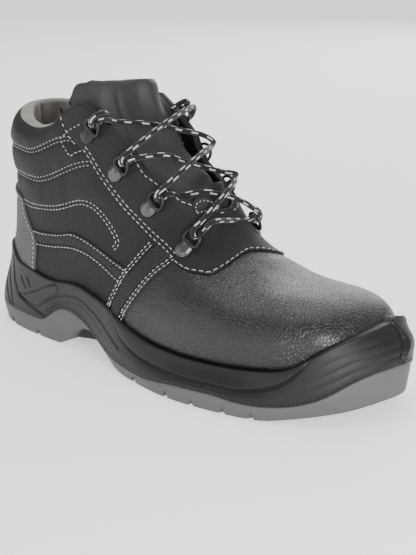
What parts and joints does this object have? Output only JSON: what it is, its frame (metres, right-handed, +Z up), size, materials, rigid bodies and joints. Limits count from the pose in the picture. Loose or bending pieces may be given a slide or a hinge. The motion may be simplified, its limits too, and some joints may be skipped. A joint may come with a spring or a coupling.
{
  "type": "safety boot",
  "caption": "Ankle-high laced safety boot for the right foot with a black leather upper, padded collar and a thick black and grey moulded sole with toe spring and arch.",
  "frame": {"origin": "on the floor under the middle of the heel, on the ground face of the outsole", "axes": "+X from heel to toe, +Y to the inner side of the foot, +Z up from the floor"},
  "size_m": [0.3064, 0.117, 0.1615],
  "materials": {
    "grey_rubber": "matt moulded grey sole",
    "black_sole": "satin moulded black sole",
    "smooth_leather": "smooth black leather with a fine grain",
    "grain_leather": "pebbled black leather",
    "strap_leather": "pebbled brownish black leather",
    "soft_leather": "soft matt black leather over foam",
    "insole_cloth": "matt grey-beige cloth",
    "black_metal": "glossy black enamel",
    "lace": "round braided black cord with white flecks"
  },
  "bodies": {
    "root": {"outsole": "grey_rubber", "midsole": "black_sole", "upper": "smooth_leather", "insole": "insole_cloth", "tongue": "soft_leather", "facing": "smooth_leather", "heel_counter": "grain_leather", "strap_outer": "strap_leather", "strap_inner": "strap_leather", "side_band_outer": "grain_leather", "side_band_inner": "grain_leather", "lace_end_outer": "lace", "lace_end_inner": "lace", "lace_crossings": "lace", "d_ring_outer_1": "black_metal", "d_ring_outer_2": "black_metal", "d_ring_outer_3": "black_metal", "d_ring_outer_4": "black_metal", "d_ring_inner_1": "black_metal", "d_ring_inner_2": "black_metal", "d_ring_inner_3": "black_metal", "d_ring_inner_4": "black_metal"}
  },
  "joints": []
}
